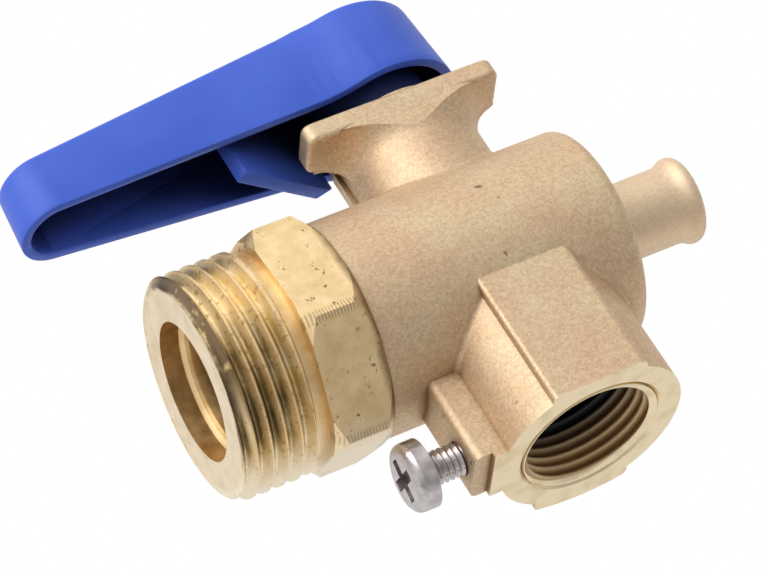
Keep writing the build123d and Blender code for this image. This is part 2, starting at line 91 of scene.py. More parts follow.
# Blasted cast brass: a matt tan skin with a fine sparkling grain, a few dark specks, and brown painted shade
# in its corners and creases.
# The real grain is about 0.1 mm wide and is drawn at 0.26 mm, so that it shows. The nozzle is a little paler.
# In a colour mix, socket 0 is the share, 6 and 7 are the two colours, and 2 is the result.
blasted_brass, shader, place = new_material("blasted_cast_brass")
axes = add_node(blasted_brass, "SeparateXYZ", {"Vector": place})
grit = add_node(blasted_brass, "TexVoronoi", {"Vector": place, "Scale": per_mm(0.26)})["Color"]
grain = add_node(blasted_brass, "SeparateColor", {"Color": grit})["Red"]
cloud = add_node(blasted_brass, "TexNoise", {"Vector": place, "Scale": per_mm(7.0), "Detail": 3.0})["Fac"]
tint = add_node(blasted_brass, "ValToRGB", {"Fac": cloud}, [(0.36, "#DDC0A0"), (0.66, "#E0CBAA")])["Color"]
shine = add_node(blasted_brass, "ValToRGB", {"Fac": grain}, [(0.0, "#E8E5E1"), (1.0, "#FFFFFF")])["Color"]
cast = add_node(blasted_brass, "Mix", {0: 1.0, 6: tint, 7: shine}, data_type="RGBA", blend_type="MULTIPLY")[2]
nozzle_start = 13.9 * MM
nozzle_clear = 14.9 * MM
nozzle = add_node(blasted_brass, "MapRange", {"Value": axes["X"], "From Min": nozzle_start,
                                              "From Max": nozzle_clear, "To Max": 0.42})["Result"]
cast = add_node(blasted_brass, "Mix", {0: nozzle, 6: cast, 7: srgb("#F3DEC2")}, data_type="RGBA")[2]
speck = add_node(blasted_brass, "TexNoise", {"Vector": place, "Scale": per_mm(1.9), "Detail": 1.0})["Fac"]
speck = add_node(blasted_brass, "MapRange", {"Value": speck, "From Min": 0.765, "From Max": 0.80,
                                             "To Max": 0.7})["Result"]
cast = add_node(blasted_brass, "Mix", {0: speck, 6: cast, 7: srgb("#6E5A3A")}, data_type="RGBA")[2]
# Painted shade: brown in the corners and creases, where ambient occlusion finds little light.
corner = add_node(blasted_brass, "AmbientOcclusion", {"Distance": 2.0 * MM}, samples=8)["AO"]
corner = add_node(blasted_brass, "MapRange", {"Value": corner, "From Min": 0.4, "From Max": 0.85,
                                              "To Min": 0.85, "To Max": 0.0})["Result"]
cast = add_node(blasted_brass, "Mix", {0: corner, 6: cast, 7: srgb("#7A5A36")}, data_type="RGBA")[2]

# Port face and countersink: paler, smooth brass with faint smears, where the tool has faced it.
port_mouth = -0.6 * MM
port_wall = 8.33 * MM
port_crest = 7.55 * MM
lip_middle = 8.20 * MM
lip_half_width = 0.77 * MM
lip_end = -0.15 * MM
port_out = add_node(blasted_brass, "Mapping", {"Vector": place, "Scale": (1, 0, 1)})["Vector"]
port_out = add_node(blasted_brass, "VectorMath", {0: port_out}, operation="LENGTH")["Value"]
faced = add_node(blasted_brass, "Math", {0: axes["Y"], 1: port_mouth + 0.03 * MM}, operation="LESS_THAN")[0]
lip = add_node(blasted_brass, "Math", {0: port_out, 1: lip_middle, 2: lip_half_width}, operation="COMPARE")[0]
lip_depth = add_node(blasted_brass, "Math", {0: axes["Y"], 1: lip_end}, operation="LESS_THAN")[0]
lip = add_node(blasted_brass, "Math", {0: lip, 1: lip_depth}, operation="MULTIPLY")[0]
faced = add_node(blasted_brass, "Math", {0: faced, 1: lip}, operation="MAXIMUM")[0]
smear = add_node(blasted_brass, "TexNoise", {"Vector": place, "Scale": per_mm(2.6), "Detail": 4.0})["Fac"]
smear = add_node(blasted_brass, "ValToRGB", {"Fac": smear}, [(0.30, "#D8C49C"), (0.52, "#EBD9B6")])["Color"]
cast = add_node(blasted_brass, "Mix", {0: faced, 6: cast, 7: smear}, data_type="RGBA")[2]

# Tapped port: brown grime on the thread, with painted highlight on the crests and painted shade in the roots,
# painted shade turning it black further in, and too dull to shine like metal.
port_end = 20.0 * MM
port_shade_start = 2.8 * MM
port_shade_full = 6.0 * MM
in_port = add_node(blasted_brass, "Math", {0: port_out, 1: port_wall + 0.62 * MM}, operation="LESS_THAN")[0]
below_end = add_node(blasted_brass, "Math", {0: axes["Y"], 1: port_end}, operation="LESS_THAN")[0]
in_port = add_node(blasted_brass, "Math", {0: in_port, 1: below_end}, operation="MULTIPLY")[0]
in_port = add_node(blasted_brass, "Math", {0: in_port, 1: faced}, operation="SUBTRACT", use_clamp=True)[0]
# Painted highlight and shade: the thread is paler at the crests and darker brown towards the roots.
flank = add_node(blasted_brass, "MapRange", {"Value": port_out, "From Min": port_crest - 0.10 * MM,
                                             "From Max": port_wall + 0.02 * MM})["Result"]
flank = add_node(blasted_brass, "ValToRGB", {"Fac": flank}, [(0.08, "#D6B888"), (0.75, "#9A7244")])["Color"]
# Painted shade: the thread turns near black deeper in the port, where little light gets in.
depth = add_node(blasted_brass, "MapRange", {"Value": axes["Y"], "From Min": port_shade_start,
                                             "From Max": port_shade_full, "To Max": 0.97})["Result"]
tapped = add_node(blasted_brass, "Mix", {0: depth, 6: flank, 7: srgb("#1B2024")}, data_type="RGBA")[2]
colour = add_node(blasted_brass, "Mix", {0: in_port, 6: cast, 7: tapped}, data_type="RGBA")[2]
machined = add_node(blasted_brass, "Math", {0: in_port, 1: faced}, operation="MAXIMUM")[0]
gloss = add_node(blasted_brass, "MapRange", {"Value": machined, "To Min": 0.60, "To Max": 0.42})["Result"]
relief = add_node(blasted_brass, "MapRange", {"Value": machined, "To Min": 0.4, "To Max": 0.05})["Result"]
bump = add_node(blasted_brass, "Bump", {"Height": grain, "Strength": relief, "Distance": 0.05 * MM})["Normal"]
metal = add_node(blasted_brass, "MapRange", {"Value": in_port, "To Min": 1.0, "To Max": 0.35})["Result"]
feed(blasted_brass, shader, {"Base Color": colour, "Roughness": gloss, "Metallic": metal, "Normal": bump})
give(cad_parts["body_casting"], blasted_brass)


# Softener port thread: the right-hand G 3/8 turns tapped in the port, 1.337 mm apart, cut back by the
# countersink at the mouth and pierced by the lock screw's hole. They belong to the casting's bored wall.
def draw_outline(name, points, centre=(0, 0, 0)):
    """Draws a closed outline point by point, in a new piece whose origin is at centre."""
    bpy.ops.object.select_all(action="DESELECT")
    bpy.ops.mesh.primitive_plane_add(size=MM, location=centre)
    piece = bpy.context.object
    piece.name = name
    bpy.ops.object.mode_set(mode="EDIT")
    bpy.ops.mesh.select_mode(type="VERT")
    bpy.ops.mesh.select_all(action="SELECT")
    bpy.ops.mesh.merge(type="CENTER")
    bpy.ops.transform.translate(value=points[0])
    for start, end in zip(points, points[1:]):
        bpy.ops.mesh.extrude_vertices_move(TRANSFORM_OT_translate={"value": Vector(end) - Vector(start)})
    bpy.ops.mesh.select_all(action="SELECT")
    bpy.ops.mesh.edge_face_add()
    bpy.ops.object.mode_set(mode="OBJECT")
    return piece


def both_sides(half):
    """A thread's whole profile from half of it, as (radius, along) points from its edge to its middle."""
    return [(radius, -along) for radius, along in half] + half[::-1]


def wind(piece, axis, pitch, turns, steps):
    """Winds a closed outline into a solid right-hand helix about an axis through its origin."""
    winding = piece.modifiers.new("wind", "SCREW")
    winding.axis = axis
    winding.screw_offset = pitch
    winding.iterations = turns
    winding.steps = steps
    winding.render_steps = steps
    winding.use_merge_vertices = False
    bpy.ops.object.modifier_apply(modifier=winding.name)
    bpy.ops.object.mode_set(mode="EDIT")
    bpy.ops.mesh.select_all(action="SELECT")
    bpy.ops.mesh.remove_doubles(threshold=1e-7)
    bpy.ops.mesh.select_mode(type="EDGE")
    bpy.ops.mesh.select_all(action="DESELECT")
    bpy.ops.mesh.select_non_manifold()
    bpy.ops.mesh.fill_holes(sides=12)
    bpy.ops.mesh.select_all(action="SELECT")
    bpy.ops.mesh.normals_make_consistent(inside=False)
    bpy.ops.object.mode_set(mode="OBJECT")
    bpy.ops.object.transform_apply(location=True, rotation=True, scale=True)


def carve(piece, tool):
    """Cuts one piece with another, which is used up."""
    cut = piece.modifiers.new("cut", "BOOLEAN")
    cut.operation = "DIFFERENCE"
    cut.solver = "EXACT"
    cut.object = tool
    bpy.ops.object.select_all(action="DESELECT")
    bpy.context.view_layer.objects.active = piece
    piece.select_set(True)
    bpy.ops.object.modifier_apply(modifier=cut.name)
    bpy.data.objects.remove(tool)


port_pitch = 1.337 * MM
port_turns = 9
port_first = port_mouth - port_pitch
ridge = both_sides([(port_wall + 0.10 * MM, 0.64 * MM), (port_wall, 0.60 * MM),
                    (port_wall - 0.13 * MM, 0.50 * MM), (port_crest + 0.12 * MM, 0.22 * MM),
                    (port_crest, 0.08 * MM)])
port_thread = draw_outline("port_thread", [(0, port_first + along, radius) for radius, along in ridge])
wind(port_thread, "Y", port_pitch, port_turns, steps=72)
countersink_depth = 0.4 * MM
countersink_lead = 2.6 * MM
countersink_flare = 8.9 * MM
bpy.ops.object.select_all(action="DESELECT")
bpy.ops.mesh.primitive_cone_add(vertices=96, radius1=port_wall + countersink_flare,
                                radius2=port_crest - 0.1 * MM, depth=countersink_depth + countersink_lead,
                                rotation=(-math.pi / 2, 0, 0),
                                location=(0, port_mouth + (countersink_depth - countersink_lead) / 2, 0))
countersink = bpy.context.object
bpy.ops.object.transform_apply(location=True, rotation=True, scale=True)
carve(port_thread, countersink)
screw_line = 3.1 * MM
screw_hole_radius = 2.05 * MM
screw_hole_length = 4.0 * MM
bpy.ops.object.select_all(action="DESELECT")
bpy.ops.mesh.primitive_cylinder_add(vertices=48, radius=screw_hole_radius, depth=screw_hole_length,
                                    rotation=(0, math.pi / 2, 0), location=(-port_wall, screw_line, 0))
screw_hole = bpy.context.object
bpy.ops.object.transform_apply(location=True, rotation=True, scale=True)
carve(port_thread, screw_hole)
bpy.ops.object.shade_smooth_by_angle(angle=math.radians(35))
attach(port_thread, "tap")
give(port_thread, blasted_brass)


# End connector: the G 3/4 male inlet with its hexagon, turned from brass bar and screwed into the barrel.
# Its turns are 1.814 mm apart. The hexagon is pitted by the wrench, and old grime and painted shade sit in
# the thread's roots.
def turn_on_lathe(piece, axis, centre, steps):
    """Turns a closed outline a full turn about an axis through a point."""
    bpy.ops.object.mode_set(mode="EDIT")
    bpy.ops.mesh.select_all(action="SELECT")
    bpy.ops.mesh.delete(type="ONLY_FACE")
    bpy.ops.mesh.select_all(action="SELECT")
    bpy.ops.mesh.spin(steps=steps, angle=2 * math.pi, center=centre, axis=axis)
    bpy.ops.mesh.select_all(action="SELECT")
    bpy.ops.mesh.remove_doubles(threshold=1e-7)
    bpy.ops.mesh.normals_make_consistent(inside=False)
    bpy.ops.object.mode_set(mode="OBJECT")
    bpy.ops.object.transform_apply(location=True, rotation=True, scale=True)


def outward_at(degrees):
    """Direction square to the inlet's axis, turned this far from +Y to +Z."""
    turn = math.radians(degrees)
    return Vector((0, math.cos(turn), math.sin(turn)))


flow_line = 23.4 * MM
inlet_end = -36.8 * MM
inlet_crest = 13.22 * MM
end_face_radius = 12.5 * MM
thread_end = -28.2 * MM
relief_radius = 11.9 * MM
hex_front = -26.4 * MM
hex_front_radius = 13.7 * MM
hex_front_chamfer = 1.2 * MM
hex_back = -18.65 * MM
hex_back_chamfer = 1.9 * MM
hex_flat = 13.0 * MM
hex_corner = 15.01 * MM
hex_sides = 6
hex_first_flat = 81
hex_floor = 11.5 * MM
spigot_radius = 10.95 * MM
spigot_end = -9.85 * MM
ring_groove = (-18.2 * MM, -16.2 * MM)
ring_groove_radius = 9.3 * MM
nose_radius = 8.5 * MM
nose_end = -9.05 * MM
throat_radius = 4.75 * MM
throat = (-15.0 * MM, -12.5 * MM)
bore_radius = 7.3 * MM
mouth_radius = 8.2 * MM
mouth_end = -34.5 * MM
end_face_and_thread = [(inlet_end, mouth_radius), (inlet_end, end_face_radius),
                       (inlet_end + 0.15 * MM, end_face_radius + 0.12 * MM),
                       (inlet_end + 0.6 * MM, inlet_crest - 0.1 * MM), (inlet_end + 0.75 * MM, inlet_crest),
                       (thread_end, inlet_crest), (thread_end + 0.6 * MM, relief_radius)]
hexagon_bar = [(hex_front, relief_radius), (hex_front, hex_front_radius),
               (hex_front + hex_front_chamfer, hex_corner), (hex_back - hex_back_chamfer, hex_corner),
               (hex_back, hex_corner - hex_back_chamfer)]
spigot = [(hex_back, spigot_radius), (ring_groove[0], spigot_radius), (ring_groove[0], ring_groove_radius),
          (ring_groove[1], ring_groove_radius), (ring_groove[1], spigot_radius), (spigot_end, spigot_radius),
          (spigot_end, nose_radius), (nose_end, nose_radius)]
bores = [(nose_end, throat_radius), (throat[1], throat_radius), (throat[0], bore_radius),
         (mouth_end + 0.9 * MM, bore_radius), (mouth_end + 0.75 * MM, bore_radius + 0.06 * MM),
         (mouth_end + 0.1 * MM, mouth_radius - 0.14 * MM), (mouth_end, mouth_radius)]
blank = end_face_and_thread + hexagon_bar + spigot + bores
connector = draw_outline("inlet_connector", [(along, flow_line + radius, 0) for along, radius in blank])
turn_on_lathe(connector, (1, 0, 0), (0, flow_line, 0), steps=144)
axis_point = Vector((0, flow_line, 0))
for flat in range(hex_sides):
    square_to = outward_at(hex_first_flat + 360 / hex_sides * flat)
    bpy.ops.object.mode_set(mode="EDIT")
    bpy.ops.mesh.select_mode(type="FACE")
    bpy.ops.mesh.select_all(action="DESELECT")
    bpy.ops.object.mode_set(mode="OBJECT")
    for side in connector.data.polygons:
        reach = ((side.center - axis_point) * Vector((0, 1, 1))).length
        on_bar = hex_front - 0.05 * MM < side.center.x < hex_back + 0.05 * MM
        side.select = on_bar and reach > hex_floor
    bpy.ops.object.mode_set(mode="EDIT")
    bpy.ops.mesh.bisect(plane_co=axis_point + square_to * hex_flat, plane_no=square_to, use_fill=True,
                        clear_outer=True, threshold=1e-7)
    bpy.ops.object.mode_set(mode="OBJECT")

inlet_pitch = 1.814 * MM
inlet_turns = 6
inlet_root = 12.10 * MM
inlet_first = -39.0 * MM
groove = both_sides([(inlet_crest + 0.4 * MM, 0.98 * MM), (inlet_crest - 0.04 * MM, 0.78 * MM),
                     (inlet_root + 0.15 * MM, 0.3 * MM), (inlet_root, 0.12 * MM)])
cutter = draw_outline("inlet_groove", [(inlet_first + along, radius, 0) for radius, along in groove],
                      (0, flow_line, 0))
wind(cutter, "X", inlet_pitch, inlet_turns, steps=96)
carve(connector, cutter)
bpy.ops.object.shade_smooth_by_angle(angle=math.radians(28))
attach(connector, "tap")
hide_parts("end_connector")

# Turned brass: pale gold, dark grime and painted shade in the thread's roots and grime along the first turn,
# brown tarnish in the bore with painted shade deeper in, pits, stains, painted shade in the creases and rough
# corners on the hexagon, and a painted reflection below.
turned_brass, shader, place = new_material("turned_brass")
along = add_node(turned_brass, "SeparateXYZ", {"Vector": place})["X"]
across = add_node(turned_brass, "Mapping", {"Vector": place, "Location": (0, -flow_line, 0),
                                            "Scale": (0, 1, 1)})["Vector"]
outward = add_node(turned_brass, "VectorMath", {0: across}, operation="LENGTH")["Value"]
heading = add_node(turned_brass, "VectorMath", {0: across}, operation="NORMALIZE")["Vector"]
around = add_node(turned_brass, "SeparateXYZ", {"Vector": across})
around = add_node(turned_brass, "Math", {0: around["Z"], 1: around["Y"]}, operation="ARCTAN2")[0]
dirt = add_node(turned_brass, "TexNoise", {"Vector": place, "Scale": per_mm(2.4), "Detail": 5.0,
                                           "Roughness": 0.6})["Fac"]
fine = add_node(turned_brass, "TexNoise", {"Vector": place, "Scale": per_mm(0.6), "Detail": 3.0})["Fac"]
colour = add_node(turned_brass, "ValToRGB", {"Fac": dirt}, [(0.30, "#DFC08A"), (0.62, "#F0D6A8")])["Color"]


def turned_to(degrees, start, full, least=0.0, most=1.0):
    """How far the turned brass faces this way about the inlet's axis, as a share from least to most."""
    share = add_node(turned_brass, "VectorMath", {0: heading, 1: outward_at(degrees)},
                     operation="DOT_PRODUCT")["Value"]
    return add_node(turned_brass, "MapRange", {"Value": share, "From Min": start, "From Max": full,
                                               "To Min": least, "To Max": most})["Result"]


# Thread: golden flanks, dark streaks of grime and painted shade drawn out along the roots on the lower side
# and the top, brown flecks.
thread_floor = 11.7 * MM
fade_start = -30.6 * MM
fade_end = -29.4 * MM
on_thread = add_node(turned_brass, "Math", {0: along, 1: thread_end + 0.3 * MM}, operation="LESS_THAN")[0]
off_bore = add_node(turned_brass, "Math", {0: outward, 1: thread_floor}, operation="GREATER_THAN")[0]
on_thread = add_node(turned_brass, "Math", {0: on_thread, 1: off_bore}, operation="MULTIPLY")[0]
root = add_node(turned_brass, "MapRange", {"Value": outward, "From Min": inlet_crest - 0.17 * MM,
                                           "From Max": inlet_root + 0.25 * MM})["Result"]
root = add_node(turned_brass, "Math", {0: root, 1: on_thread}, operation="MULTIPLY")[0]
flank = add_node(turned_brass, "Math", {0: root, 1: 0.75}, operation="MULTIPLY")[0]
blotch = add_node(turned_brass, "TexNoise", {"Vector": place, "Scale": per_mm(3.2), "Detail": 3.0})["Fac"]
valley = add_node(turned_brass, "ValToRGB", {"Fac": blotch}, [(0.40, "#E4C787"), (0.60, "#F3E2BC")])["Color"]
colour = add_node(turned_brass, "Mix", {0: flank, 6: colour, 7: valley}, data_type="RGBA")[2]
# Painted shade: the dark streaks lie on the roots' shaded sides, broken up by noise like grime.
lower = turned_to(134, 0.70, 0.92)
top = turned_to(36, 0.93, 0.985)
streak = add_node(turned_brass, "Math", {0: lower, 1: top}, operation="MAXIMUM")[0]
by_turn = add_node(turned_brass, "Math", {0: along, 1: per_mm(1.5)}, operation="MULTIPLY")[0]
drawn_out = add_node(turned_brass, "CombineXYZ", {"X": by_turn, "Y": around})["Vector"]
patch = add_node(turned_brass, "TexNoise", {"Vector": drawn_out, "Scale": 1.7, "Detail": 4.0,
                                            "Roughness": 0.6})["Fac"]
patch = add_node(turned_brass, "MapRange", {"Value": patch, "From Min": 0.36, "From Max": 0.56,
                                            "To Max": 0.78})["Result"]
streak = add_node(turned_brass, "Math", {0: streak, 1: patch}, operation="MULTIPLY")[0]
fade = add_node(turned_brass, "MapRange", {"Value": along, "From Min": fade_start, "From Max": fade_end,
                                           "To Min": 1.0, "To Max": 0.35})["Result"]
streak = add_node(turned_brass, "Math", {0: streak, 1: fade}, operation="MULTIPLY")[0]
streak = add_node(turned_brass, "Math", {0: streak, 1: root}, operation="MULTIPLY")[0]
colour = add_node(turned_brass, "Mix", {0: streak, 6: colour, 7: srgb("#453318")}, data_type="RGBA")[2]
fleck = add_node(turned_brass, "MapRange", {"Value": fine, "From Min": 0.58, "From Max": 0.68,
                                            "To Max": 0.55})["Result"]
fleck = add_node(turned_brass, "Math", {0: fleck, 1: on_thread}, operation="MULTIPLY")[0]
colour = add_node(turned_brass, "Mix", {0: fleck, 6: colour, 7: srgb("#8A682F")}, data_type="RGBA")[2]

# First turn and end face: a brown worn band with a ragged edge round the upper side, and a paler facing cut.
band_inner = -35.1 * MM
band_outer = -35.7 * MM
edge_inner = 12.5 * MM
edge_outer = 13.0 * MM
edge_wander = 1.6 * MM
ragged = add_node(turned_brass, "Math", {0: dirt, 1: edge_wander, 2: outward}, operation="MULTIPLY_ADD")[0]
band = add_node(turned_brass, "MapRange", {"Value": along, "From Min": band_inner,
                                           "From Max": band_outer})["Result"]
edge = add_node(turned_brass, "MapRange", {"Value": ragged, "From Min": edge_inner,
                                           "From Max": edge_outer})["Result"]
band = add_node(turned_brass, "Math", {0: band, 1: edge}, operation="MULTIPLY")[0]
band = add_node(turned_brass, "Math", {0: band, 1: turned_to(85, 0.45, 0.8)}, operation="MULTIPLY")[0]
worn = add_node(turned_brass, "MapRange", {"Value": dirt, "From Min": 0.30, "From Max": 0.42,
                                           "To Max": 0.85})["Result"]
band = add_node(turned_brass, "Math", {0: band, 1: worn}, operation="MULTIPLY")[0]
colour = add_node(turned_brass, "Mix", {0: band, 6: colour, 7: srgb("#5E4A36")}, data_type="RGBA")[2]
face = add_node(turned_brass, "Math", {0: along, 1: inlet_end + 0.1 * MM}, operation="LESS_THAN")[0]
inside_edge = add_node(turned_brass, "MapRange", {"Value": ragged, "From Min": edge_outer,
                                                  "From Max": edge_inner})["Result"]
face = add_node(turned_brass, "Math", {0: face, 1: inside_edge}, operation="MULTIPLY")[0]
facing = add_node(turned_brass, "ValToRGB", {"Fac": dirt}, [(0.30, "#D9C6A2"), (0.58, "#EEDCBF")])["Color"]
colour = add_node(turned_brass, "Mix", {0: face, 6: colour, 7: facing}, data_type="RGBA")[2]

# Bore: brown tarnish, darkened further in by painted shade, except on the pale bevel between its two
# diameters.
bevel_middle = mouth_end + 0.2 * MM
bevel_reach = 0.25 * MM
bore = add_node(turned_brass, "MapRange", {"Value": outward, "From Min": mouth_radius + 0.08 * MM,
                                           "From Max": mouth_radius + 0.02 * MM})["Result"]
bevel = add_node(turned_brass, "Math", {0: along, 1: bevel_middle, 2: bevel_reach}, operation="COMPARE")[0]
bore = add_node(turned_brass, "Math", {0: bore, 1: bevel}, operation="SUBTRACT", use_clamp=True)[0]
tarnish = add_node(turned_brass, "ValToRGB", {"Fac": dirt}, [(0.35, "#BC965F"), (0.65, "#DAB783")])["Color"]
# Painted shade: the tarnish darkens towards half its colour deeper in the bore.
inner = add_node(turned_brass, "MapRange", {"Value": along, "From Min": mouth_end + 0.4 * MM,
                                            "From Max": mouth_end + 2.0 * MM, "To Min": 1.0,
                                            "To Max": 0.5})["Result"]
tarnish = add_node(turned_brass, "Mix", {0: 1.0, 6: tarnish, 7: inner}, data_type="RGBA",
                   blend_type="MULTIPLY")[2]
colour = add_node(turned_brass, "Mix", {0: bore, 6: colour, 7: tarnish}, data_type="RGBA")[2]

# Hexagon: brown at the joint with the barrel, small dark pits, and chatter lines 0.38 mm apart across its
# corners, faint on all but the front two.
hex_first_corner = math.radians(hex_first_flat + 180 / hex_sides)
hex_skin = 12.6 * MM
joint_start = -18.9 * MM
joint_full = -18.1 * MM
joint_wander = 1.5 * MM
on_hex = add_node(turned_brass, "Math", {0: along, 1: hex_front - 0.2 * MM}, operation="GREATER_THAN")[0]
off_spigot = add_node(turned_brass, "Math", {0: outward, 1: hex_skin}, operation="GREATER_THAN")[0]
on_hex = add_node(turned_brass, "Math", {0: on_hex, 1: off_spigot}, operation="MULTIPLY")[0]
joint = add_node(turned_brass, "Math", {0: dirt, 1: joint_wander, 2: along}, operation="MULTIPLY_ADD")[0]
joint = add_node(turned_brass, "MapRange", {"Value": joint, "From Min": joint_start, "From Max": joint_full,
                                            "To Max": 0.75})["Result"]
joint = add_node(turned_brass, "Math", {0: joint, 1: on_hex}, operation="MULTIPLY")[0]
colour = add_node(turned_brass, "Mix", {0: joint, 6: colour, 7: srgb("#6B4E2C")}, data_type="RGBA")[2]
pit = add_node(turned_brass, "TexNoise", {"Vector": place, "Scale": per_mm(1.5), "Detail": 3.0,
                                          "Roughness": 0.7})["Fac"]
pit = add_node(turned_brass, "MapRange", {"Value": pit, "From Min": 0.63, "From Max": 0.71,
                                          "To Max": 0.75})["Result"]
pit = add_node(turned_brass, "Math", {0: pit, 1: on_hex}, operation="MULTIPLY")[0]
colour = add_node(turned_brass, "Mix", {0: pit, 6: colour, 7: srgb("#5C4626")}, data_type="RGBA")[2]
corner = add_node(turned_brass, "Math", {0: around, 1: hex_sides, 2: -hex_sides * hex_first_corner},
                  operation="MULTIPLY_ADD")[0]
corner = add_node(turned_brass, "Math", {0: corner}, operation="COSINE")[0]
corner = add_node(turned_brass, "MapRange", {"Value": corner, "From Min": 0.93, "From Max": 0.975})["Result"]
lines = add_node(turned_brass, "TexWave", {"Vector": place, "Scale": per_mm(0.38) * math.pi / 10,
                                           "Distortion": 1.2, "Detail": 1.0}, bands_direction="X")["Fac"]
lines = add_node(turned_brass, "MapRange", {"Value": lines, "From Min": 0.25, "From Max": 0.75,
                                            "To Max": 0.45})["Result"]
lines = add_node(turned_brass, "Math", {0: lines, 1: corner}, operation="MULTIPLY")[0]
front = turned_to(141, 0.3, 0.7, least=0.25)
lines = add_node(turned_brass, "Math", {0: lines, 1: front}, operation="MULTIPLY")[0]
lines = add_node(turned_brass, "Math", {0: lines, 1: on_hex}, operation="MULTIPLY")[0]
colour = add_node(turned_brass, "Mix", {0: lines, 6: colour, 7: srgb("#7C6132")}, data_type="RGBA")[2]
# Painted shade: brown in the hexagon's creases, where ambient occlusion finds little light.
hex_crease_shade = add_node(turned_brass, "AmbientOcclusion", {"Distance": 1.5 * MM}, samples=8)["AO"]
hex_crease_shade = add_node(turned_brass, "MapRange", {"Value": hex_crease_shade, "From Min": 0.4, "From Max": 0.85,
                                            "To Min": 0.6, "To Max": 0.0})["Result"]
hex_crease_shade = add_node(turned_brass, "Math", {0: hex_crease_shade, 1: on_hex}, operation="MULTIPLY")[0]
colour = add_node(turned_brass, "Mix", {0: hex_crease_shade, 6: colour, 7: srgb("#6B4E2C")}, data_type="RGBA")[2]

# Underside: a painted reflection of the white floor, pale on the hexagon and thread.
floor_reflection = turned_to(215, 0.6, 0.95, most=0.65)
floor_reflection = add_node(turned_brass, "Math", {0: floor_reflection, 1: off_bore}, operation="MULTIPLY")[0]
colour = add_node(turned_brass, "Mix", {0: floor_reflection, 6: colour, 7: srgb("#F4ECDA")}, data_type="RGBA")[2]
gloss = add_node(turned_brass, "MapRange", {"Value": dirt, "From Min": 0.3, "From Max": 0.7,
                                            "To Min": 0.40, "To Max": 0.52})["Result"]
bump = add_node(turned_brass, "Bump", {"Height": fine, "Strength": 0.25, "Distance": 0.05 * MM})["Normal"]
bump = add_node(turned_brass, "Bump", {"Height": pit, "Strength": 0.8, "Distance": 0.12 * MM, "Normal": bump},
                invert=True)["Normal"]
feed(turned_brass, shader, {"Base Color": colour, "Roughness": gloss, "Metallic": 1.0, "Normal": bump})
give(connector, turned_brass)


# Lock screw: an M4 pan head cross-recess screw in the lug, which bites on the pipe stub in the port.
# Zinc plated steel, cold headed, with a rolled thread.
def copy_of_node(name, node):
    """A merged copy of a CAD node's mesh, as a new piece."""
    piece = bpy.data.objects.new(name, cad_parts[node].data.copy())
    bpy.context.scene.collection.objects.link(piece)
    bpy.ops.object.select_all(action="DESELECT")
    bpy.context.view_layer.objects.active = piece
    piece.select_set(True)
    bpy.ops.object.mode_set(mode="EDIT")
    bpy.ops.mesh.select_all(action="SELECT")
    bpy.ops.mesh.remove_doubles(threshold=1e-6)
    bpy.ops.mesh.dissolve_limited(angle_limit=math.radians(0.3))
    bpy.ops.object.mode_set(mode="OBJECT")
    return piece


screw_pitch = 0.7 * MM
screw_turns = 12
screw_crest = 1.95 * MM
screw_root = 1.56 * MM
screw_first = -18.2 * MM
groove = both_sides([(screw_crest + 0.15 * MM, 0.36 * MM), (screw_root, 0.08 * MM)])
cutter = draw_outline("screw_groove", [(screw_first + along, radius, 0) for radius, along in groove],
                      (0, screw_line, 0))
wind(cutter, "X", screw_pitch, screw_turns, steps=40)
lock_screw = copy_of_node("lock_screw_threaded", "lock_screw")
carve(lock_screw, cutter)
bpy.ops.object.shade_smooth_by_angle(angle=math.radians(32))
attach(lock_screw, "lock_screw")
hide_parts("lock_screw")

# Zinc plated steel: grey with a faint purple cast, a soft gloss, and brown dirt with painted shade in the
# recess and thread.
zinc_steel, shader, place = new_material("zinc_plated_steel")
bloom = add_node(zinc_steel, "TexNoise", {"Vector": place, "Scale": per_mm(1.2), "Detail": 4.0})["Fac"]
plating = add_node(zinc_steel, "ValToRGB", {"Fac": bloom}, [(0.35, "#B2A9AA"), (0.65, "#CCC6C5")])["Color"]
# Painted shade: brown darkening where ambient occlusion finds the recess and the thread's roots.
nook = add_node(zinc_steel, "AmbientOcclusion", {"Distance": 1.2 * MM}, samples=8)["AO"]
nook = add_node(zinc_steel, "MapRange", {"Value": nook, "From Min": 0.1, "From Max": 0.75, "To Min": 0.75,
                                         "To Max": 0.0})["Result"]
colour = add_node(zinc_steel, "Mix", {0: nook, 6: plating, 7: srgb("#7A6450")}, data_type="RGBA")[2]
gloss = add_node(zinc_steel, "MapRange", {"Value": bloom, "From Min": 0.3, "From Max": 0.7, "To Min": 0.3,
                                          "To Max": 0.45})["Result"]
feed(zinc_steel, shader, {"Base Color": colour, "Roughness": gloss, "Metallic": 1.0})
for piece in (lock_screw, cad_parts["handle_screw"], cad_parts["handle_washer"]):
    give(piece, zinc_steel)


# Inner works: the bored ball, its two seats, the stem with its washer and rings, and the connector's ring.
# Chromed brass, turned brass, PTFE and nitrile rubber, shut in when the connector is screwed home.

# Chromed brass: a bright cool mirror with faint water marks.
chromed_brass, shader, place = new_material("chromed_brass")
marks = add_node(chromed_brass, "TexNoise", {"Vector": place, "Scale": per_mm(2.5), "Detail": 3.0})["Fac"]
gloss = add_node(chromed_brass, "MapRange", {"Value": marks, "From Min": 0.4, "From Max": 0.7, "To Min": 0.08,
                                             "To Max": 0.22})["Result"]
feed(chromed_brass, shader, {"Base Color": srgb("#C9CBD0"), "Roughness": gloss, "Metallic": 1.0})
give(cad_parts["ball"], chromed_brass)
give(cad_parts["stem"], turned_brass)

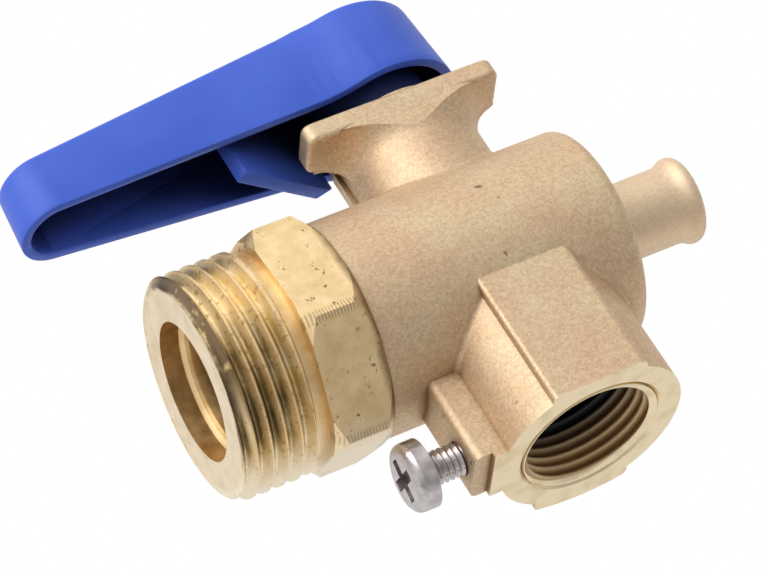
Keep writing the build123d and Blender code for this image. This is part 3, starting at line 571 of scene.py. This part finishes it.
# PTFE: waxy white, a little uneven from the cutting tool.
ptfe, shader, place = new_material("white_ptfe")
white = add_node(ptfe, "TexNoise", {"Vector": place, "Scale": per_mm(1.0), "Detail": 2.0})["Fac"]
white = add_node(ptfe, "ValToRGB", {"Fac": white}, [(0.3, "#DEDDD6"), (0.7, "#E8E7E2")])["Color"]
feed(ptfe, shader, {"Base Color": white, "Roughness": 0.5})
for name in ("seat_ring_inlet", "seat_ring_outlet", "stem_thrust_washer"):
    give(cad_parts[name], ptfe)

# Nitrile rubber: near black, with a dull greasy sheen in patches.
nitrile, shader, place = new_material("nitrile_rubber")
grease = add_node(nitrile, "TexNoise", {"Vector": place, "Scale": per_mm(1.5), "Detail": 2.0})["Fac"]
gloss = add_node(nitrile, "MapRange", {"Value": grease, "From Min": 0.35, "From Max": 0.65, "To Min": 0.35,
                                       "To Max": 0.7})["Result"]
feed(nitrile, shader, {"Base Color": srgb("#1C1C1D"), "Roughness": gloss})
for name in ("connector_oring", "stem_oring_lower", "stem_oring_upper"):
    give(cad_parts[name], nitrile)


# Lever: a hollow blue handle, open underneath, with a stop rib inside, screwed on the stem over a washer.
# Moulded polypropylene, with the small radius that the mould leaves on every edge.
mould_radius = 0.22 * MM
lever = copy_of_node("lever_moulding", "handle")
soften = lever.modifiers.new("soften", "BEVEL")
soften.width = mould_radius
soften.segments = 2
soften.limit_method = "ANGLE"
soften.angle_limit = math.radians(40)
bpy.ops.object.modifier_apply(modifier=soften.name)
bpy.ops.object.shade_smooth_by_angle(angle=math.radians(32))
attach(lever, "lever")
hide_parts("handle")

# Blue polypropylene: an even satin skin with faint flow marks, with near-black painted shade round the hub
# and where the hollow keeps the light out.
hub_radius = 6.3 * MM
hub_skin = 0.4 * MM
lever_roof = 57.25 * MM
blue_plastic, shader, place = new_material("moulded_blue_polypropylene")
flow = add_node(blue_plastic, "TexNoise", {"Vector": place, "Scale": per_mm(9.0), "Detail": 2.0})["Fac"]
skin = add_node(blue_plastic, "TexNoise", {"Vector": place, "Scale": per_mm(0.5), "Detail": 2.0})["Fac"]
blue = add_node(blue_plastic, "ValToRGB", {"Fac": flow}, [(0.35, "#3A59C0"), (0.65, "#4060C6")])["Color"]
# Painted shade: the hollow's inside turns near black where ambient occlusion finds little light.
hollow = add_node(blue_plastic, "AmbientOcclusion", {"Distance": 14 * MM}, samples=12, only_local=True)["AO"]
hollow = add_node(blue_plastic, "MapRange", {"Value": hollow, "From Min": 0.38, "From Max": 0.62,
                                             "To Min": 0.95, "To Max": 0.0})["Result"]
from_stem = add_node(blue_plastic, "Mapping", {"Vector": place, "Scale": (1, 0, 1)})["Vector"]
from_stem = add_node(blue_plastic, "VectorMath", {0: from_stem}, operation="LENGTH")["Value"]
# Painted shadow: a ring round the hub, under the lever's roof, is darkened as in the shell's shadow.
hub_shade = add_node(blue_plastic, "Math", {0: from_stem, 1: hub_radius, 2: hub_skin}, operation="COMPARE")[0]
height = add_node(blue_plastic, "SeparateXYZ", {"Vector": place})["Y"]
under_roof = add_node(blue_plastic, "Math", {0: height, 1: lever_roof}, operation="LESS_THAN")[0]
hub_shade = add_node(blue_plastic, "Math", {0: hub_shade, 1: under_roof}, operation="MULTIPLY")[0]
hub_shade = add_node(blue_plastic, "Math", {0: hub_shade, 1: 0.85}, operation="MULTIPLY")[0]
hollow = add_node(blue_plastic, "Math", {0: hollow, 1: hub_shade}, operation="MAXIMUM")[0]
colour = add_node(blue_plastic, "Mix", {0: hollow, 6: blue, 7: srgb("#0A0F2A")}, data_type="RGBA")[2]
gloss = add_node(blue_plastic, "MapRange", {"Value": skin, "From Min": 0.3, "From Max": 0.7, "To Min": 0.40,
                                            "To Max": 0.52})["Result"]
bump = add_node(blue_plastic, "Bump", {"Height": skin, "Strength": 0.12, "Distance": 0.03 * MM})["Normal"]
feed(blue_plastic, shader, {"Base Color": colour, "Roughness": gloss, "Specular IOR Level": 0.3,
                            "Normal": bump})
give(lever, blue_plastic)


# Photo booth: a white floor under the tap, one soft lamp above and behind it, and a room that is brighter on
# the lamp's side. The floor shows plain white to the camera and in reflections.
floor_size = 6.0
floor_height = -0.12
bpy.ops.object.select_all(action="DESELECT")
bpy.ops.mesh.primitive_plane_add(size=floor_size, location=(0, 0, floor_height))
floor = bpy.context.object
floor.name = "floor"
white_floor, shader, place = new_material("white_floor")
feed(white_floor, shader, {"Base Color": srgb("#F2F2F0"), "Roughness": 0.9})
ray = add_node(white_floor, "LightPath")
seen = add_node(white_floor, "Math", {0: ray["Is Camera Ray"], 1: ray["Is Glossy Ray"]},
                operation="MAXIMUM")[0]
seen = add_node(white_floor, "Math", {0: seen, 1: ray["Is Transmission Ray"]}, operation="MAXIMUM")[0]
glow = add_node(white_floor, "Emission", {"Color": (1, 1, 1, 1), "Strength": 1.0})["Emission"]
shown = add_node(white_floor, "MixShader", {0: seen, 1: shader.outputs["BSDF"], 2: glow})["Shader"]
feed(white_floor, white_floor.node_tree.nodes["Material Output"], {"Surface": shown})
give(floor, white_floor)

bright_side = Vector((-0.35, 0.8, 0.2)).normalized()
dark_level = 0.48
middle_level = 0.70
bright_level = 1.1
world = bpy.data.worlds.new("pale_room")
bpy.context.scene.world = world
world.use_nodes = True
toward = add_node(world, "TexCoord")["Generated"]
level = add_node(world, "VectorMath", {0: toward, 1: bright_side}, operation="DOT_PRODUCT")["Value"]
level = add_node(world, "MapRange", {"Value": level, "From Min": -1.0, "From Max": 1.0})["Result"]
level = add_node(world, "ValToRGB", {"Fac": level})["Color"]
steps = level.node.color_ramp.elements
steps[0].position = 0.1
steps[0].color = (dark_level, dark_level, dark_level, 1)
steps[1].position = 0.9
steps[1].color = (bright_level, bright_level, bright_level, 1)
steps.new(0.5).color = (middle_level, middle_level, middle_level, 1)
feed(world, world.node_tree.nodes["Background"], {"Color": level, "Strength": 1.0})

lamp_place = Vector((-0.36, 0.42, 0.50))
lamp_aim = Vector((0, 0.02, 0))
lamp_data = bpy.data.lights.new("key_lamp", "AREA")
lamp_data.size = 0.6
lamp_data.energy = 3.2
lamp = bpy.data.objects.new("key_lamp", lamp_data)
bpy.context.scene.collection.objects.link(lamp)
lamp.location = lamp_place
lamp.rotation_euler = (lamp_aim - lamp_place).to_track_quat("-Z", "Y").to_euler()

# Camera: a long lens from above the inlet's side, fitted to the thread and the hexagon.
camera_place = (-0.1549, -0.1915, 0.3535)
camera_right = Vector((0.8802, -0.4698, 0.0678))
camera_up = Vector((0.3440, 0.7297, 0.5908))
camera_back = Vector((-0.3270, -0.4967, 0.8039))
camera_data = bpy.data.cameras.new("camera")
camera_data.sensor_width = 36.0
camera_data.lens = 183.66
camera_data.clip_start = 0.01
camera = bpy.data.objects.new("camera", camera_data)
bpy.context.scene.collection.objects.link(camera)
camera_turn = Matrix((camera_right, camera_up, camera_back)).transposed().to_4x4()
camera.matrix_world = Matrix.Translation(camera_place) @ camera_turn
bpy.context.scene.camera = camera

bpy.context.scene.view_settings.view_transform = "Standard"
